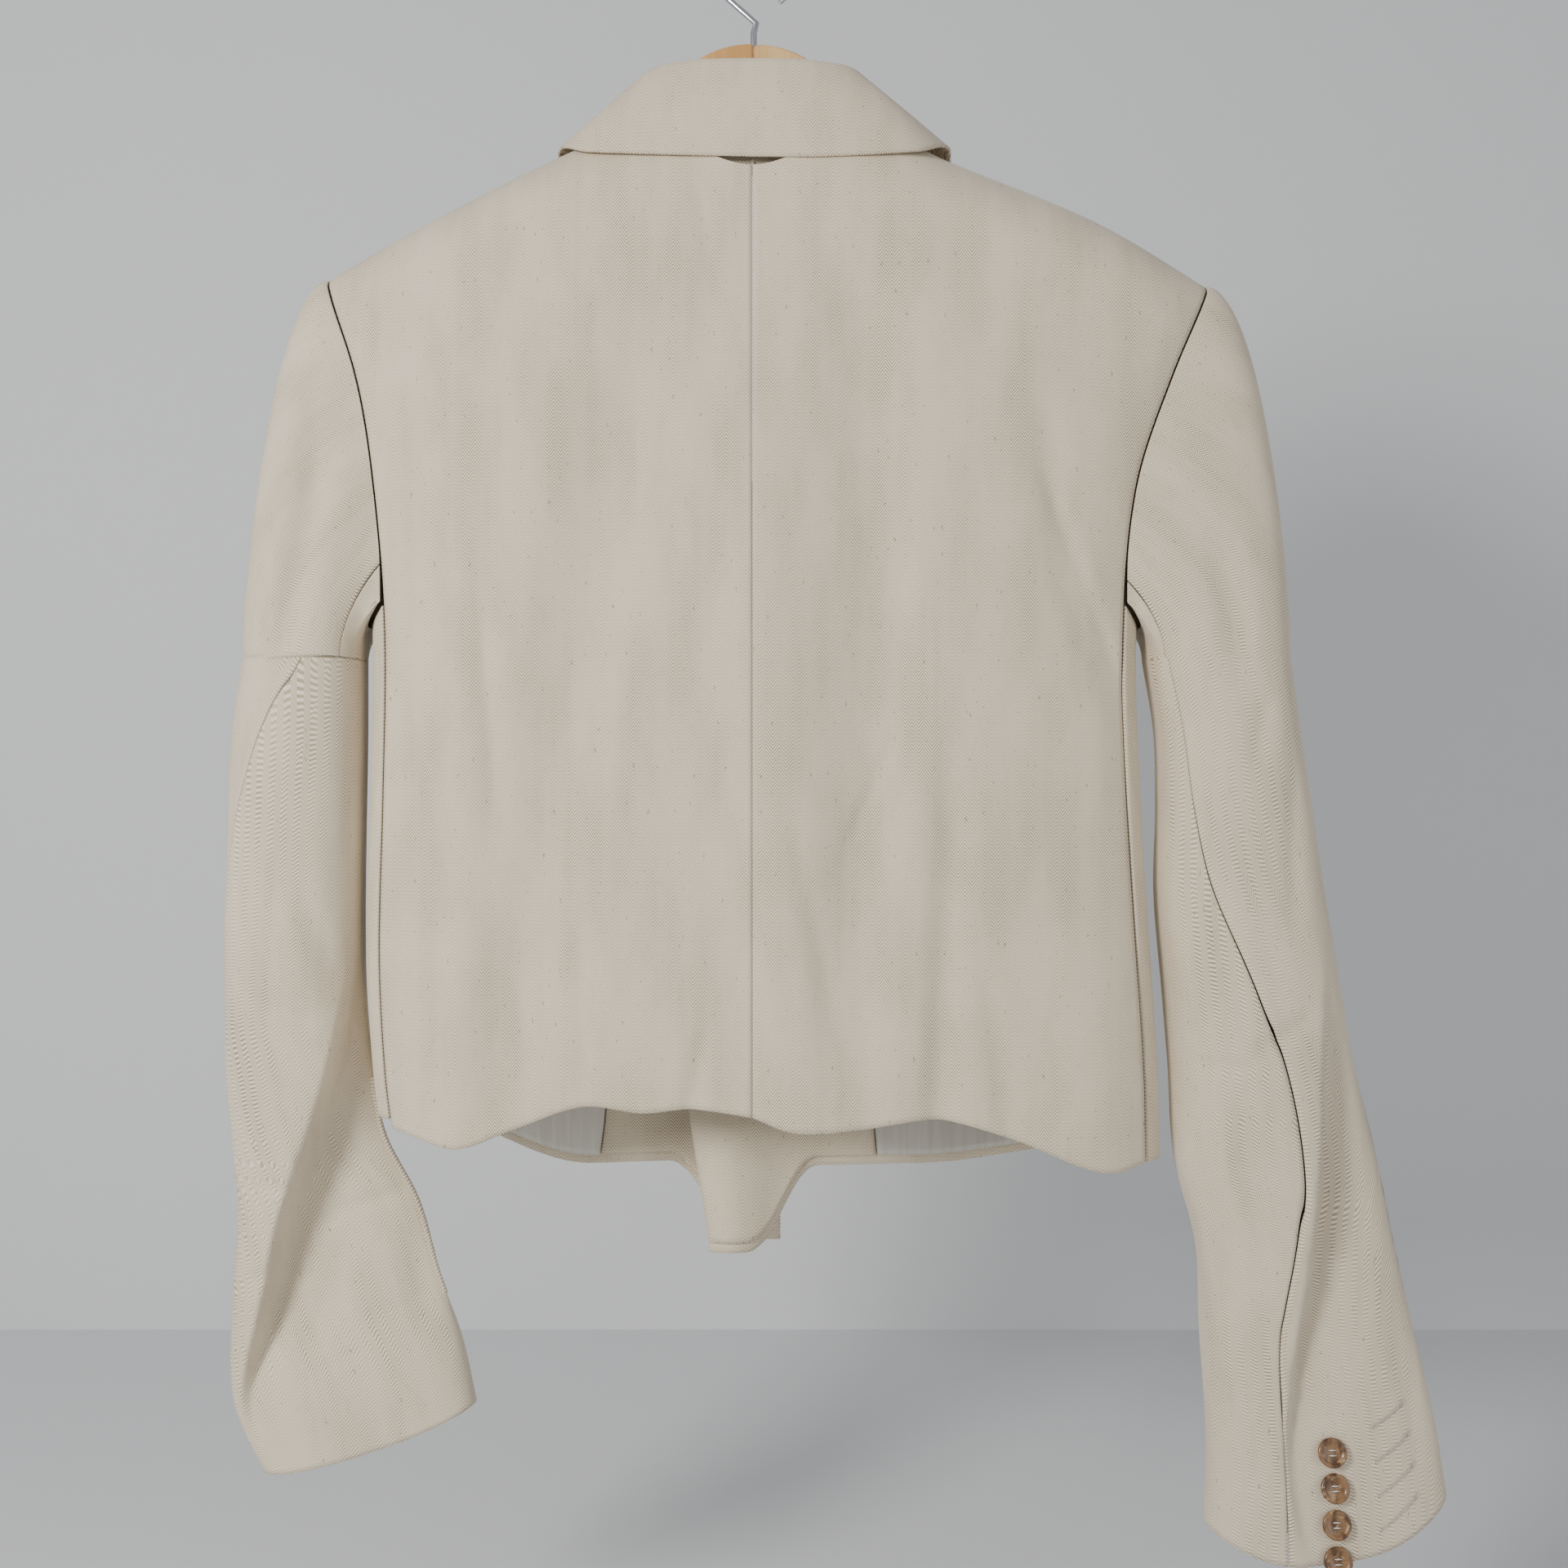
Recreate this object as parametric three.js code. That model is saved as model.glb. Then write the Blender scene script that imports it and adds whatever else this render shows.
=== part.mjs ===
// Cropped double-breasted blazer on a wooden hanger: faceted solids, millimetres, +Z up.
// The wearer's front faces -Y, the back +Y, the wearer's left is +X.
// The origin is the inside crest of the hanger hook, from which everything hangs.
import * as THREE from "three";

// ---- Driving dimensions (mm) ----
const CLOTH = 1.6; // wall of the woven cloth with its fusing
const LINING_WALL = 1.0;
const SEAM_GAP = 0.3; // between two sewn pieces
const LAYER_GAP = 0.9; // between a front and what lies inside it, clear of their facets where the corner curls
const BODY_MID_Y = -5; // plane in which the shoulder seams lie
const BACK_DEPTH = 43; // from that plane to the flat of the back
const FRONT_DEPTH = 42;
const BODY_POWER = 3; // squareness of the hanging body's cross-section
const SHOULDER_ROUND = 42; // height over which the shoulder rolls into the back
const SHOULDER_SHARE = 0.25; // share of a panel's rows spent on that roll
const ARMHOLE_RATIO = 0.95; // armhole and side seams, as a share of the half width
const UNDERARM_Z = -372;
const NECK_HALF = 72;
const NECK_POINT_Z = -113;
const BACK_NECK_Z = -141;
const BREAK_Z = -432; // where the lapels start to roll
const UPPER_BUTTON_Z = -462;
const LOWER_BUTTON_Z = -555;
const FRONT_BUTTON_D = 22;
const CUFF_BUTTON_D = 15;
const FACING_WIDTH = 90;
const HANGER_THICK = 13;
const ARM_DROP = 4; // from the shoulder line down to the top of the hanger's arms

const LEFT = 1;
const RIGHT = -1;

// ---- Colours ----
const CLOTH_COLOUR = 0xd6c8af;
const LINING_COLOUR = 0xd6d0c0;
const HORN_COLOUR = 0x785532;
const WOOD_COLOUR = 0xe4b670;
const STEEL_COLOUR = 0xb8b8ba;

const BODY_SIDES = {
  [LEFT]: {
    halfWidth: [
      { z: -186, x: 236 },
      { z: -242, x: 216 },
      { z: -300, x: 206 },
      { z: -375, x: 200 },
      { z: -460, x: 201 },
      { z: -540, x: 203 },
      { z: -600, x: 200 },
      { z: -640, x: 195 },
    ],
    ridge: [
      { x: 0, z: -98 },
      { x: NECK_HALF, z: NECK_POINT_Z },
      { x: 102, z: -125 },
      { x: 165, z: -156 },
      { x: 224, z: -188 },
    ],
    tip: 222,
    hem: [
      { x: 0, z: -621 },
      { x: 31, z: -617 },
      { x: 55, z: -619 },
      { x: 85, z: -616 },
      { x: 120, z: -628 },
      { x: 150, z: -638 },
      { x: 172, z: -634 },
      { x: 200, z: -626 },
    ],
    edge: [
      { z: NECK_POINT_Z, x: NECK_HALF },
      { z: -180, x: 54 },
      { z: BREAK_Z, x: -62 },
      { z: -560, x: -40 },
      { z: -660, x: -14 },
    ],
    layer: -6,
  },
  [RIGHT]: {
    halfWidth: [
      { z: -190, x: 252 },
      { z: -242, x: 228 },
      { z: -300, x: 208 },
      { z: -375, x: 201 },
      { z: -460, x: 203 },
      { z: -540, x: 208 },
      { z: -600, x: 212 },
      { z: -640, x: 213 },
    ],
    ridge: [
      { x: 0, z: -98 },
      { x: NECK_HALF, z: NECK_POINT_Z },
      { x: 100, z: -126 },
      { x: 179, z: -158 },
      { x: 239, z: -192 },
    ],
    tip: 237,
    hem: [
      { x: 0, z: -621 },
      { x: 20, z: -628 },
      { x: 54, z: -627 },
      { x: 95, z: -623 },
      { x: 132, z: -633 },
      { x: 180, z: -651 },
      { x: 213, z: -644 },
    ],
    edge: [
      { z: NECK_POINT_Z, x: NECK_HALF },
      { z: -180, x: 54 },
      { z: BREAK_Z, x: -62 },
      { z: -560, x: -50 },
      { z: -628, x: -36 },
      { z: -700, x: -24 },
    ],
    layer: 6,
  },
};

// Long soft folds of the back: a row for each, with its path, its width and its depth.
const BACK_FOLDS = [
  { path: [{ z: -235, x: 60 }, { z: -396, x: 92 }, { z: -595, x: 125 }], width: 22, depth: -7 },
  { path: [{ z: -194, x: -55 }, { z: -376, x: -64 }, { z: -563, x: -47 }], width: 20, depth: -6 },
  { path: [{ z: -290, x: -2 }, { z: -470, x: -16 }, { z: -626, x: -32 }], width: 24, depth: 5 },
  { path: [{ z: -438, x: -102 }, { z: -620, x: -94 }], width: 9, depth: -4 },
  { path: [{ z: -268, x: -150 }, { z: -351, x: -162 }, { z: -420, x: -192 }], width: 9, depth: -3 },
  { path: [{ z: -365, x: 138 }, { z: -448, x: 132 }], width: 8, depth: -2.5 },
  { path: [{ z: -520, x: 150 }, { z: -640, x: 150 }], width: 22, depth: 5 },
  { path: [{ z: -540, x: -178 }, { z: -650, x: -182 }], width: 24, depth: 5 },
];

// Sleeves as level rings: outer and inner edge, back and front depth, the long fold's place and depth,
// how far the ring tips with x, and how far its middle sags.
const SLEEVES = {
  [LEFT]: {
    cap: 13,
    rings: [
      { z: -388, outer: 267, inner: 205, back: 30, front: -36, fold: 206, step: 0, tip: 0, sag: 0 },
      { z: -430, outer: 273, inner: 205, back: 30, front: -36, fold: 206, step: 0, tip: 0, sag: 0 },
      { z: -480, outer: 275, inner: 206, back: 28, front: -36, fold: 207, step: 0, tip: 0, sag: 0 },
      { z: -530, outer: 278, inner: 207, back: 25, front: -38, fold: 207, step: 2, tip: 0, sag: 0 },
      { z: -565, outer: 279, inner: 207, back: 20, front: -40, fold: 212, step: 12, tip: 0, sag: 0 },
      { z: -600, outer: 280, inner: 205, back: 16, front: -44, fold: 219, step: 22, tip: 0, sag: 0 },
      { z: -640, outer: 278, inner: 200, back: 12, front: -48, fold: 231, step: 26, tip: 0, sag: 0 },
      { z: -680, outer: 276, inner: 182, back: 9, front: -50, fold: 246, step: 26, tip: -0.05, sag: 0 },
      { z: -725, outer: 280, inner: 171, back: 5, front: -50, fold: 258, step: 22, tip: -0.15, sag: 0 },
      { z: -768, outer: 280, inner: 158, back: 0, front: -48, fold: 271, step: 8, tip: -0.26, sag: 2 },
      { z: -804, outer: 264, inner: 150, back: -5, front: -42, fold: 262, step: 0, tip: -0.32, sag: 4 },
    ],
    seams: [
      { z: -330, hind: 0.12 },
      { z: -430, hind: 0.3 },
      { z: -510, hind: 0.42 },
      { z: -810, hind: 0.46 },
    ],
  },
  [RIGHT]: {
    cap: 14,
    rings: [
      { z: -388, outer: 281, inner: 206, back: 30, front: -36, fold: 280, step: 0, tip: 0, sag: 0 },
      { z: -425, outer: 286, inner: 212, back: 31, front: -36, fold: 285, step: 0, tip: 0, sag: 0 },
      { z: -465, outer: 292, inner: 213, back: 31, front: -36, fold: 290, step: 0, tip: 0, sag: 0 },
      { z: -510, outer: 299, inner: 212, back: 30, front: -36, fold: 295, step: 0, tip: 0, sag: 0 },
      { z: -560, outer: 308, inner: 216, back: 30, front: -36, fold: 294, step: 3, tip: 0, sag: 0 },
      { z: -600, outer: 316, inner: 219, back: 30, front: -34, fold: 293, step: 13, tip: 0, sag: 0 },
      { z: -650, outer: 328, inner: 222, back: 30, front: -32, fold: 291, step: 17, tip: 0, sag: 0 },
      { z: -695, outer: 337, inner: 233, back: 30, front: -30, fold: 286, step: 17, tip: 0, sag: 2 },
      { z: -740, outer: 347, inner: 235, back: 28, front: -28, fold: 279, step: 12, tip: 0, sag: 5 },
      { z: -790, outer: 357, inner: 238, back: 26, front: -24, fold: 274, step: 6, tip: 0.06, sag: 12 },
      { z: -832, outer: 363, inner: 237, back: 22, front: -20, fold: 285, step: 2, tip: 0.13, sag: 22 },
    ],
    seams: [
      { z: -350, hind: 0.1 },
      { z: -460, hind: 0.14 },
      { z: -560, hind: 0.24 },
      { z: -650, hind: 0.26 },
      { z: -740, hind: 0.2 },
      { z: -850, hind: 0.2 },
    ],
  },
};
const FOREARM_SEAM = 0.9; // front-inner seam of both sleeves, as a share of the way round

const smooth = (t) => {
  const c = Math.min(1, Math.max(0, t));
  return c * c * (3 - 2 * c);
};
const mix = (a, b, t) => a + (b - a) * t;

// A smooth line through the rows of a table: column `of` as a function of column `by`.
function along(rows, by, of, at) {
  const n = rows.length - 1;
  const rising = rows[n][by] > rows[0][by];
  let i = 0;
  while (i < n - 1 && (rising ? at > rows[i + 1][by] : at < rows[i + 1][by])) i += 1;
  const here = rows[i];
  const next = rows[i + 1];
  const t = Math.min(1, Math.max(0, (at - here[by]) / (next[by] - here[by])));
  const slope = (a, b) => (b[of] - a[of]) / (b[by] - a[by]);
  const before = rows[Math.max(0, i - 1)];
  const after = rows[Math.min(n, i + 2)];
  const span = next[by] - here[by];
  const s0 = slope(before, next) * span;
  const s1 = slope(here, after) * span;
  const t2 = t * t;
  const t3 = t2 * t;
  return (
    here[of] * (2 * t3 - 3 * t2 + 1) + s0 * (t3 - 2 * t2 + t) + next[of] * (3 * t2 - 2 * t3) + s1 * (t3 - t2)
  );
}

// ---- The body's surface ----
const widthAt = (side, z) => along(BODY_SIDES[side].halfWidth, "z", "x", z);
const ridgeAt = (side, x) => along(BODY_SIDES[side].ridge, "x", "z", Math.abs(x));

function foldsAt(x, z) {
  let sum = 0;
  for (const fold of BACK_FOLDS) {
    const top = fold.path[0].z;
    const bottom = fold.path[fold.path.length - 1].z;
    const middle = along(fold.path, "z", "x", z);
    const inside = smooth((top + 25 - z) / 60) * smooth((z - bottom + 70) / 60);
    sum += fold.depth * inside * Math.exp(-(((x - middle) / fold.width) ** 2));
  }
  return sum;
}

// Share of the full depth at a point: rounded over the shoulder and round the sides.
function fullness(side, x, z) {
  const down = Math.min(1, Math.max(0, (ridgeAt(side, x) - z) / SHOULDER_ROUND));
  const over = Math.sqrt(1 - (1 - down) ** 2);
  const across = Math.min(1, Math.abs(x) / widthAt(side, z));
  return over * (1 - across ** BODY_POWER) ** (1 / BODY_POWER);
}

function backPoint(side, x, z) {
  const share = fullness(side, x, z);
  return new THREE.Vector3(x, BODY_MID_Y + BACK_DEPTH * share + foldsAt(x, z) * share, z);
}

// The fronts hang a little apart from each other where they cross; the right one's corner curls back.
function frontPoint(side, x, z) {
  const share = fullness(side, x, z);
  const crossing = smooth((95 - side * x) / 60) * smooth((-150 - z) / 80);
  let y = BODY_MID_Y - FRONT_DEPTH * share + BODY_SIDES[side].layer * crossing;
  if (side === RIGHT) y += 17 * smooth((-560 - z) / 90) * Math.exp(-(((x - 14) / 26) ** 2));
  return new THREE.Vector3(x, y, z);
}

// Round the side: turn 0 at the back seam, 1 at the front seam.
function sidePoint(side, turn, z) {
  const edge = Math.acos(ARMHOLE_RATIO ** (BODY_POWER / 2));
  const angle = mix(edge, -edge, turn);
  const x = widthAt(side, z) * Math.cos(angle) ** (2 / BODY_POWER);
  const deep = Math.abs(Math.sin(angle)) ** (2 / BODY_POWER);
  const y = angle > 0 ? BACK_DEPTH * deep : -FRONT_DEPTH * deep;
  return new THREE.Vector3(side * x, BODY_MID_Y + y, z);
}

const seamX = (side, z) => widthAt(side, z) * ARMHOLE_RATIO;
const backHem = (side, x) => along(BODY_SIDES[side].hem, "x", "z", Math.abs(x));

// The front hem falls to a blunt corner at the edge.
function frontHem(side, x) {
  const fromEdge = side * x - (side === RIGHT ? -24 : -14);
  const level = mix(-662, backHem(side, 200), smooth((side * x - 90) / 110));
  return level - 44 * smooth((62 - fromEdge) / 44);
}

// ---- Walls ----
// A wall between two offsets of one surface; `at(u, v)` gives its points, u across and v down.
function wall(name, colour, at, columns, rows, offsets, flip) {
  const step = 0.002;
  const points = [];
  const size = (columns + 1) * (rows + 1);
  for (const offset of offsets) {
    for (let j = 0; j <= rows; j += 1) {
      for (let i = 0; i <= columns; i += 1) {
        const u = i / columns;
        const v = j / rows;
        const along1 = at(Math.min(1, u + step), v).sub(at(Math.max(0, u - step), v));
        const along2 = at(u, Math.min(1, v + step)).sub(at(u, Math.max(0, v - step)));
        const normal = along1.cross(along2).normalize().multiplyScalar(flip ? -1 : 1);
        points.push(at(u, v).addScaledVector(normal, offset));
      }
    }
  }
  const index = [];
  const quad = (a, b, c, d) => (flip ? index.push(a, c, b, a, d, c) : index.push(a, b, c, a, c, d));
  const id = (layer, i, j) => layer * size + j * (columns + 1) + i;
  for (let j = 0; j < rows; j += 1) {
    for (let i = 0; i < columns; i += 1) {
      quad(id(0, i, j), id(0, i + 1, j), id(0, i + 1, j + 1), id(0, i, j + 1));
      quad(id(1, i, j), id(1, i, j + 1), id(1, i + 1, j + 1), id(1, i + 1, j));
    }
  }
  for (let i = 0; i < columns; i += 1) {
    quad(id(0, i, 0), id(1, i, 0), id(1, i + 1, 0), id(0, i + 1, 0));
    quad(id(0, i + 1, rows), id(1, i + 1, rows), id(1, i, rows), id(0, i, rows));
  }
  for (let j = 0; j < rows; j += 1) {
    quad(id(0, 0, j + 1), id(1, 0, j + 1), id(1, 0, j), id(0, 0, j));
    quad(id(0, columns, j), id(1, columns, j), id(1, columns, j + 1), id(0, columns, j + 1));
  }
  return named(name, colour, fromPoints(points, index), 0.9);
}

function fromPoints(points, index) {
  const geometry = new THREE.BufferGeometry();
  geometry.setAttribute("position", new THREE.Float32BufferAttribute(points.flatMap((p) => p.toArray()), 3));
  geometry.setIndex(index);
  geometry.computeVertexNormals();
  return geometry;
}

function named(name, colour, geometry, roughness, metalness = 0) {
  const mesh = new THREE.Mesh(geometry, new THREE.MeshStandardMaterial({ color: colour, roughness, metalness }));
  mesh.name = name;
  return mesh;
}

// ---- Body panels ----
// Height at share v of the way from the shoulder line, over its round, to the hem.
function overShoulder(top, bottom, v) {
  const angle = mix(0.008, Math.PI / 2, Math.min(1, v / SHOULDER_SHARE));
  const round = top - SHOULDER_ROUND * (1 - Math.cos(angle));
  return v < SHOULDER_SHARE ? round : mix(top - SHOULDER_ROUND, bottom, (v - SHOULDER_SHARE) / (1 - SHOULDER_SHARE));
}
// Back half: u from the centre seam to the armhole and side seam, v from the shoulder down.
function backPanel(side) {
  const { tip } = BODY_SIDES[side];
  const at = (u, v) => {
    const share = mix(SEAM_GAP / 400, 1 - SEAM_GAP / 100, u);
    const topX = share * tip;
    const neck = BACK_NECK_Z + (NECK_POINT_Z - BACK_NECK_Z) * smooth(topX / NECK_HALF);
    const top = topX < NECK_HALF ? neck : ridgeAt(side, topX);
    const z = overShoulder(top, backHem(side, share * seamX(side, -630)), v);
    const x = side * share * Math.min(tip, seamX(side, z));
    return backPoint(side, x, z);
  };
  return wall(`back_${side === LEFT ? "left" : "right"}`, CLOTH_COLOUR, at, 14, 18, [0, -CLOTH], side === RIGHT);
}

function sidePanel(side) {
  const at = (u, v) => {
    const turn = mix(0.022, 0.984, u);
    const top = UNDERARM_Z + 12 * (2 * turn - 1) ** 2;
    const bottom = backHem(side, 200);
    return sidePoint(side, turn, mix(top, bottom, v));
  };
  return wall(`side_${side === LEFT ? "left" : "right"}`, CLOTH_COLOUR, at, 5, 8, [0, -CLOTH], side === RIGHT);
}

// Front: u from the armhole and side seam to the roll line and front edge.
const frontEdge = (side, z) => along(BODY_SIDES[side].edge, "z", "x", z);
function frontAt(side, u, v) {
  const { tip } = BODY_SIDES[side];
  const topX = mix(tip, NECK_HALF, u);
  const bottom = frontHem(side, side * mix(seamX(side, -640), frontEdge(side, -690), u));
  const z = overShoulder(ridgeAt(side, topX), bottom, v);
  const x = mix(Math.min(tip, seamX(side, z)) - SEAM_GAP, frontEdge(side, z), u);
  return frontPoint(side, side * x, z);
}
function frontPanel(side) {
  const at = (u, v) => frontAt(side, u, v);
  return wall(`front_${side === LEFT ? "left" : "right"}`, CLOTH_COLOUR, at, 12, 18, [0, -CLOTH], side === RIGHT);
}

// Facing and lining: inside the front, where they show below the back hem.
function frontLayer(name, side, colour, from, to, columns) {
  const at = (u, v) => frontAt(side, mix(from, to, u), mix(0.5, 0.992, v));
  return wall(name, colour, at, columns, 9, [-CLOTH - LAYER_GAP, -CLOTH - LAYER_GAP - LINING_WALL], side === RIGHT);
}

// ---- Collar ----
// The neck: half an oval round the back, then two lines down the front to the gorge.
// turn runs from -1 (wearer's right gorge) over 0 (centre back) to 1 (wearer's left gorge).
const COLLAR_ROWS = [
  { turn: 0, x: 0, y: 33, z: -141, rollX: 0, rollY: 30, rollZ: -86, fallX: 0, fallY: 37.9, fallZ: -138 },
  { turn: 0.2, x: 34, y: 31, z: -138, rollX: 30, rollY: 28, rollZ: -86, fallX: 42, fallY: 37.5, fallZ: -137 },
  { turn: 0.4, x: 60, y: 17, z: -124, rollX: 50, rollY: 17, rollZ: -87, fallX: 83, fallY: 30, fallZ: -132 },
  { turn: 0.55, x: 70, y: -3, z: -113, rollX: 57, rollY: -4, rollZ: -95, fallX: 100, fallY: 6, fallZ: -121 },
  { turn: 0.62, x: 70, y: -14, z: -120, rollX: 57, rollY: -20, rollZ: -106, fallX: 104, fallY: -18, fallZ: -121 },
  { turn: 0.7, x: 67, y: -30, z: -132, rollX: 56, rollY: -44, rollZ: -124, fallX: 106, fallY: -46, fallZ: -138 },
  { turn: 0.85, x: 61, y: -45, z: -160, rollX: 56, rollY: -58, rollZ: -156, fallX: 104, fallY: -61, fallZ: -168 },
  { turn: 1, x: 52, y: -52, z: -190, rollX: 55, rollY: -61, rollZ: -186, fallX: 92, fallY: -64, fallZ: -196 },
];
const COLLAR_REACH = 0.97;
function collarPoint(turn, column) {
  const read = (axis) => along(COLLAR_ROWS, "turn", column + axis, Math.abs(turn));
  return new THREE.Vector3(Math.sign(turn || 1) * read("X"), read("Y"), read("Z"));
}
function collarFall() {
  const at = (u, v) => {
    const turn = mix(-COLLAR_REACH, COLLAR_REACH, u);
    const roll = collarPoint(turn, "roll");
    const fall = collarPoint(turn, "fall");
    const bulge = Math.sin(v * Math.PI) * 3.2;
    const point = roll.lerp(fall, v);
    const out = new THREE.Vector3(point.x * 0.4, point.y, 22).normalize();
    return point.addScaledVector(out, bulge + 1.2);
  };
  return wall("collar_fall", CLOTH_COLOUR, at, 28, 4, [1, -CLOTH + 1], false);
}
function collarStand() {
  const at = (u, v) => {
    const turn = mix(-0.56, 0.56, u);
    const t = Math.abs(turn);
    const foot = new THREE.Vector3(
      Math.sign(turn || 1) * along(COLLAR_ROWS, "turn", "x", t),
      along(COLLAR_ROWS, "turn", "y", t),
      along(COLLAR_ROWS, "turn", "z", t) + 1.6,
    );
    const roll = collarPoint(turn, "roll");
    roll.z -= 5;
    return roll.lerp(foot, v).add(new THREE.Vector3(Math.sign(turn) * -2.2, t < 0.3 ? -2.2 : 0, 0));
  };
  return wall("collar_stand", CLOTH_COLOUR, at, 18, 2, [0, -CLOTH], false);
}

// ---- Lapels ----
// Each lies on its front: width out from the roll line, from the slanted peak edge down to the break.
const LAPEL_TOP_Z = -209;
const PEAK_RISE = 20;
const LAPEL_ROWS = [
  { down: 0, width: 94 },
  { down: 0.12, width: 92 },
  { down: 0.3, width: 86 },
  { down: 0.6, width: 64 },
  { down: 0.85, width: 32 },
  { down: 1, width: 6 },
];
function lapel(side) {
  const at = (u, v) => {
    const z = mix(LAPEL_TOP_Z + PEAK_RISE * u, BREAK_Z + 4, v);
    const width = along(LAPEL_ROWS, "down", "width", v);
    const point = frontPoint(side, side * (frontEdge(side, z) + 1 + width * u), z);
    point.y -= 2.4 + 2.4 * Math.sin(Math.min(1, u * 2) * 1.57) * (1 - 0.7 * u);
    return point;
  };
  return wall(`lapel_${side === LEFT ? "left" : "right"}`, CLOTH_COLOUR, at, 6, 10, [0, -CLOTH], side === LEFT);
}

// ---- Sleeves ----
// The armhole as a loop: round 0 at the underarm, 0.25 up the back, 0.5 at the shoulder, 0.75 down the front.
function armhole(side, round) {
  const { tip } = BODY_SIDES[side];
  const tipZ = ridgeAt(side, tip) - 1;
  const back = round <= 0.5;
  const share = back ? round * 2 : (1 - round) * 2;
  const under = 0.14;
  if (share < under) {
    const turn = back ? 0.5 - (0.5 * share) / under : 0.5 + (0.5 * share) / under;
    const point = sidePoint(side, turn, UNDERARM_Z + 12 * (2 * turn - 1) ** 2);
    point.x += side * 2.2;
    point.z += 1;
    return point;
  }
  const z = mix(UNDERARM_Z + 12, tipZ, (share - under) / (1 - under));
  const x = side * Math.min(tip, seamX(side, z));
  const point = back ? backPoint(side, x, z) : frontPoint(side, x, z);
  point.x += side * (0.5 + 1.5 * smooth((0.3 - share) / 0.2));
  return point;
}

function sleeveRing(side, round, z) {
  const { rings } = SLEEVES[side];
  const read = (column) => along(rings, "z", column, z);
  const outer = read("outer");
  const inner = read("inner");
  const angle = round * 2 * Math.PI;
  const squash = (value) => Math.sign(value) * Math.abs(value) ** 0.8;
  const x = mix(inner, outer, 0.5 - 0.5 * squash(Math.cos(angle)));
  const middle = (read("back") + read("front")) / 2;
  const half = (read("back") - read("front")) / 2;
  let y = middle + half * squash(Math.sin(angle));
  const beyond = side === LEFT ? read("fold") - x : x - read("fold");
  if (round < 0.5) y -= read("step") * smooth((beyond + 3) / 10) * Math.sin(angle) ** 0.5;
  const sag = read("sag") * Math.sin(round < 0.5 ? angle : angle) ** 2;
  return new THREE.Vector3(side * x, y, z + read("tip") * (x - (inner + outer) / 2) - sag);
}

const SLEEVE_CAP = 0.34; // share of the sleeve's rows that form its head
function sleevePoint(side, round, down) {
  const { rings, cap } = SLEEVES[side];
  const top = rings[0].z;
  const bottom = rings[rings.length - 1].z;
  if (down >= SLEEVE_CAP) return sleeveRing(side, round, mix(top, bottom, (down - SLEEVE_CAP) / (1 - SLEEVE_CAP)));
  const start = armhole(side, round);
  const end = sleeveRing(side, round, top);
  const t = down / SLEEVE_CAP;
  const high = Math.max(0, -Math.cos(round * 2 * Math.PI));
  const drop = start.distanceTo(end);
  const first = start.clone().add(new THREE.Vector3(side * (2 + cap * 1.5 * high), 0, 3 * high - 2 * (1 - high)));
  const second = end.clone().add(new THREE.Vector3(side * -1 * high, 0, drop * 0.45));
  return new THREE.CubicBezierCurve3(start, first, second, end).getPoint(t);
}

const hindSeam = (side, z) => along(SLEEVES[side].seams, "z", "hind", z);
function sleevePiece(name, side, upper) {
  const { rings } = SLEEVES[side];
  const at = (u, v) => {
    const z = v < SLEEVE_CAP ? -330 : mix(rings[0].z, rings[rings.length - 1].z, (v - SLEEVE_CAP) / (1 - SLEEVE_CAP));
    const hind = mix(hindSeam(side, -330), hindSeam(side, z), smooth(v / SLEEVE_CAP));
    const gap = SEAM_GAP / 260;
    const from = upper ? hind + gap : FOREARM_SEAM + gap;
    const to = upper ? FOREARM_SEAM - gap : 1 + hind - gap;
    return sleevePoint(side, mix(from, to, u) % 1, v);
  };
  return wall(name, CLOTH_COLOUR, at, upper ? 16 : 8, 22, [0, -CLOTH], side === RIGHT);
}

// ---- Buttons ----
// A turned horn button: raised rim, dished centre; its face looks along the given direction.
function button(name, diameter, centre, facing) {
  const r = diameter / 2;
  const profile = [
    [0, -1.2], [r * 0.8, -1.2], [r, -0.4], [r, 0.5], [r * 0.9, 1.2], [r * 0.72, 1.1], [r * 0.6, 0.3], [0, 0.2],
  ].map(([x, y]) => new THREE.Vector2(x, y));
  const mesh = named(name, HORN_COLOUR, new THREE.LatheGeometry(profile, 12), 0.35);
  mesh.quaternion.setFromUnitVectors(new THREE.Vector3(0, 1, 0), facing.clone().normalize());
  mesh.position.copy(centre);
  return mesh;
}

const CUFF_ROUND = { [LEFT]: 0.57, [RIGHT]: 0.25 };
const BUTTON_TILT = 0.25; // overlapping buttons each lean on the next
const BUTTON_LIFT = { [LEFT]: 2.6, [RIGHT]: 3.2 };
function cuffButtons(side) {
  const label = side === LEFT ? "left" : "right";
  return [0, 1, 2, 3].map((n) => {
    const down = mix(0.93, 0.985, n / 3) + n * 0.004;
    const point = sleevePoint(side, CUFF_ROUND[side], down);
    const a = sleevePoint(side, CUFF_ROUND[side] + 0.02, down).sub(point);
    const b = sleevePoint(side, CUFF_ROUND[side], down - 0.02).sub(point);
    const normal = a.cross(b).normalize();
    if (normal.y * (side === RIGHT ? 1 : -1) < 0) normal.negate();
    const tilt = normal.clone().add(new THREE.Vector3(0, 0, BUTTON_TILT));
    return button(`cuff_button_${label}_${n + 1}`, CUFF_BUTTON_D, point.addScaledVector(normal, BUTTON_LIFT[side]), tilt);
  });
}

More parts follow.
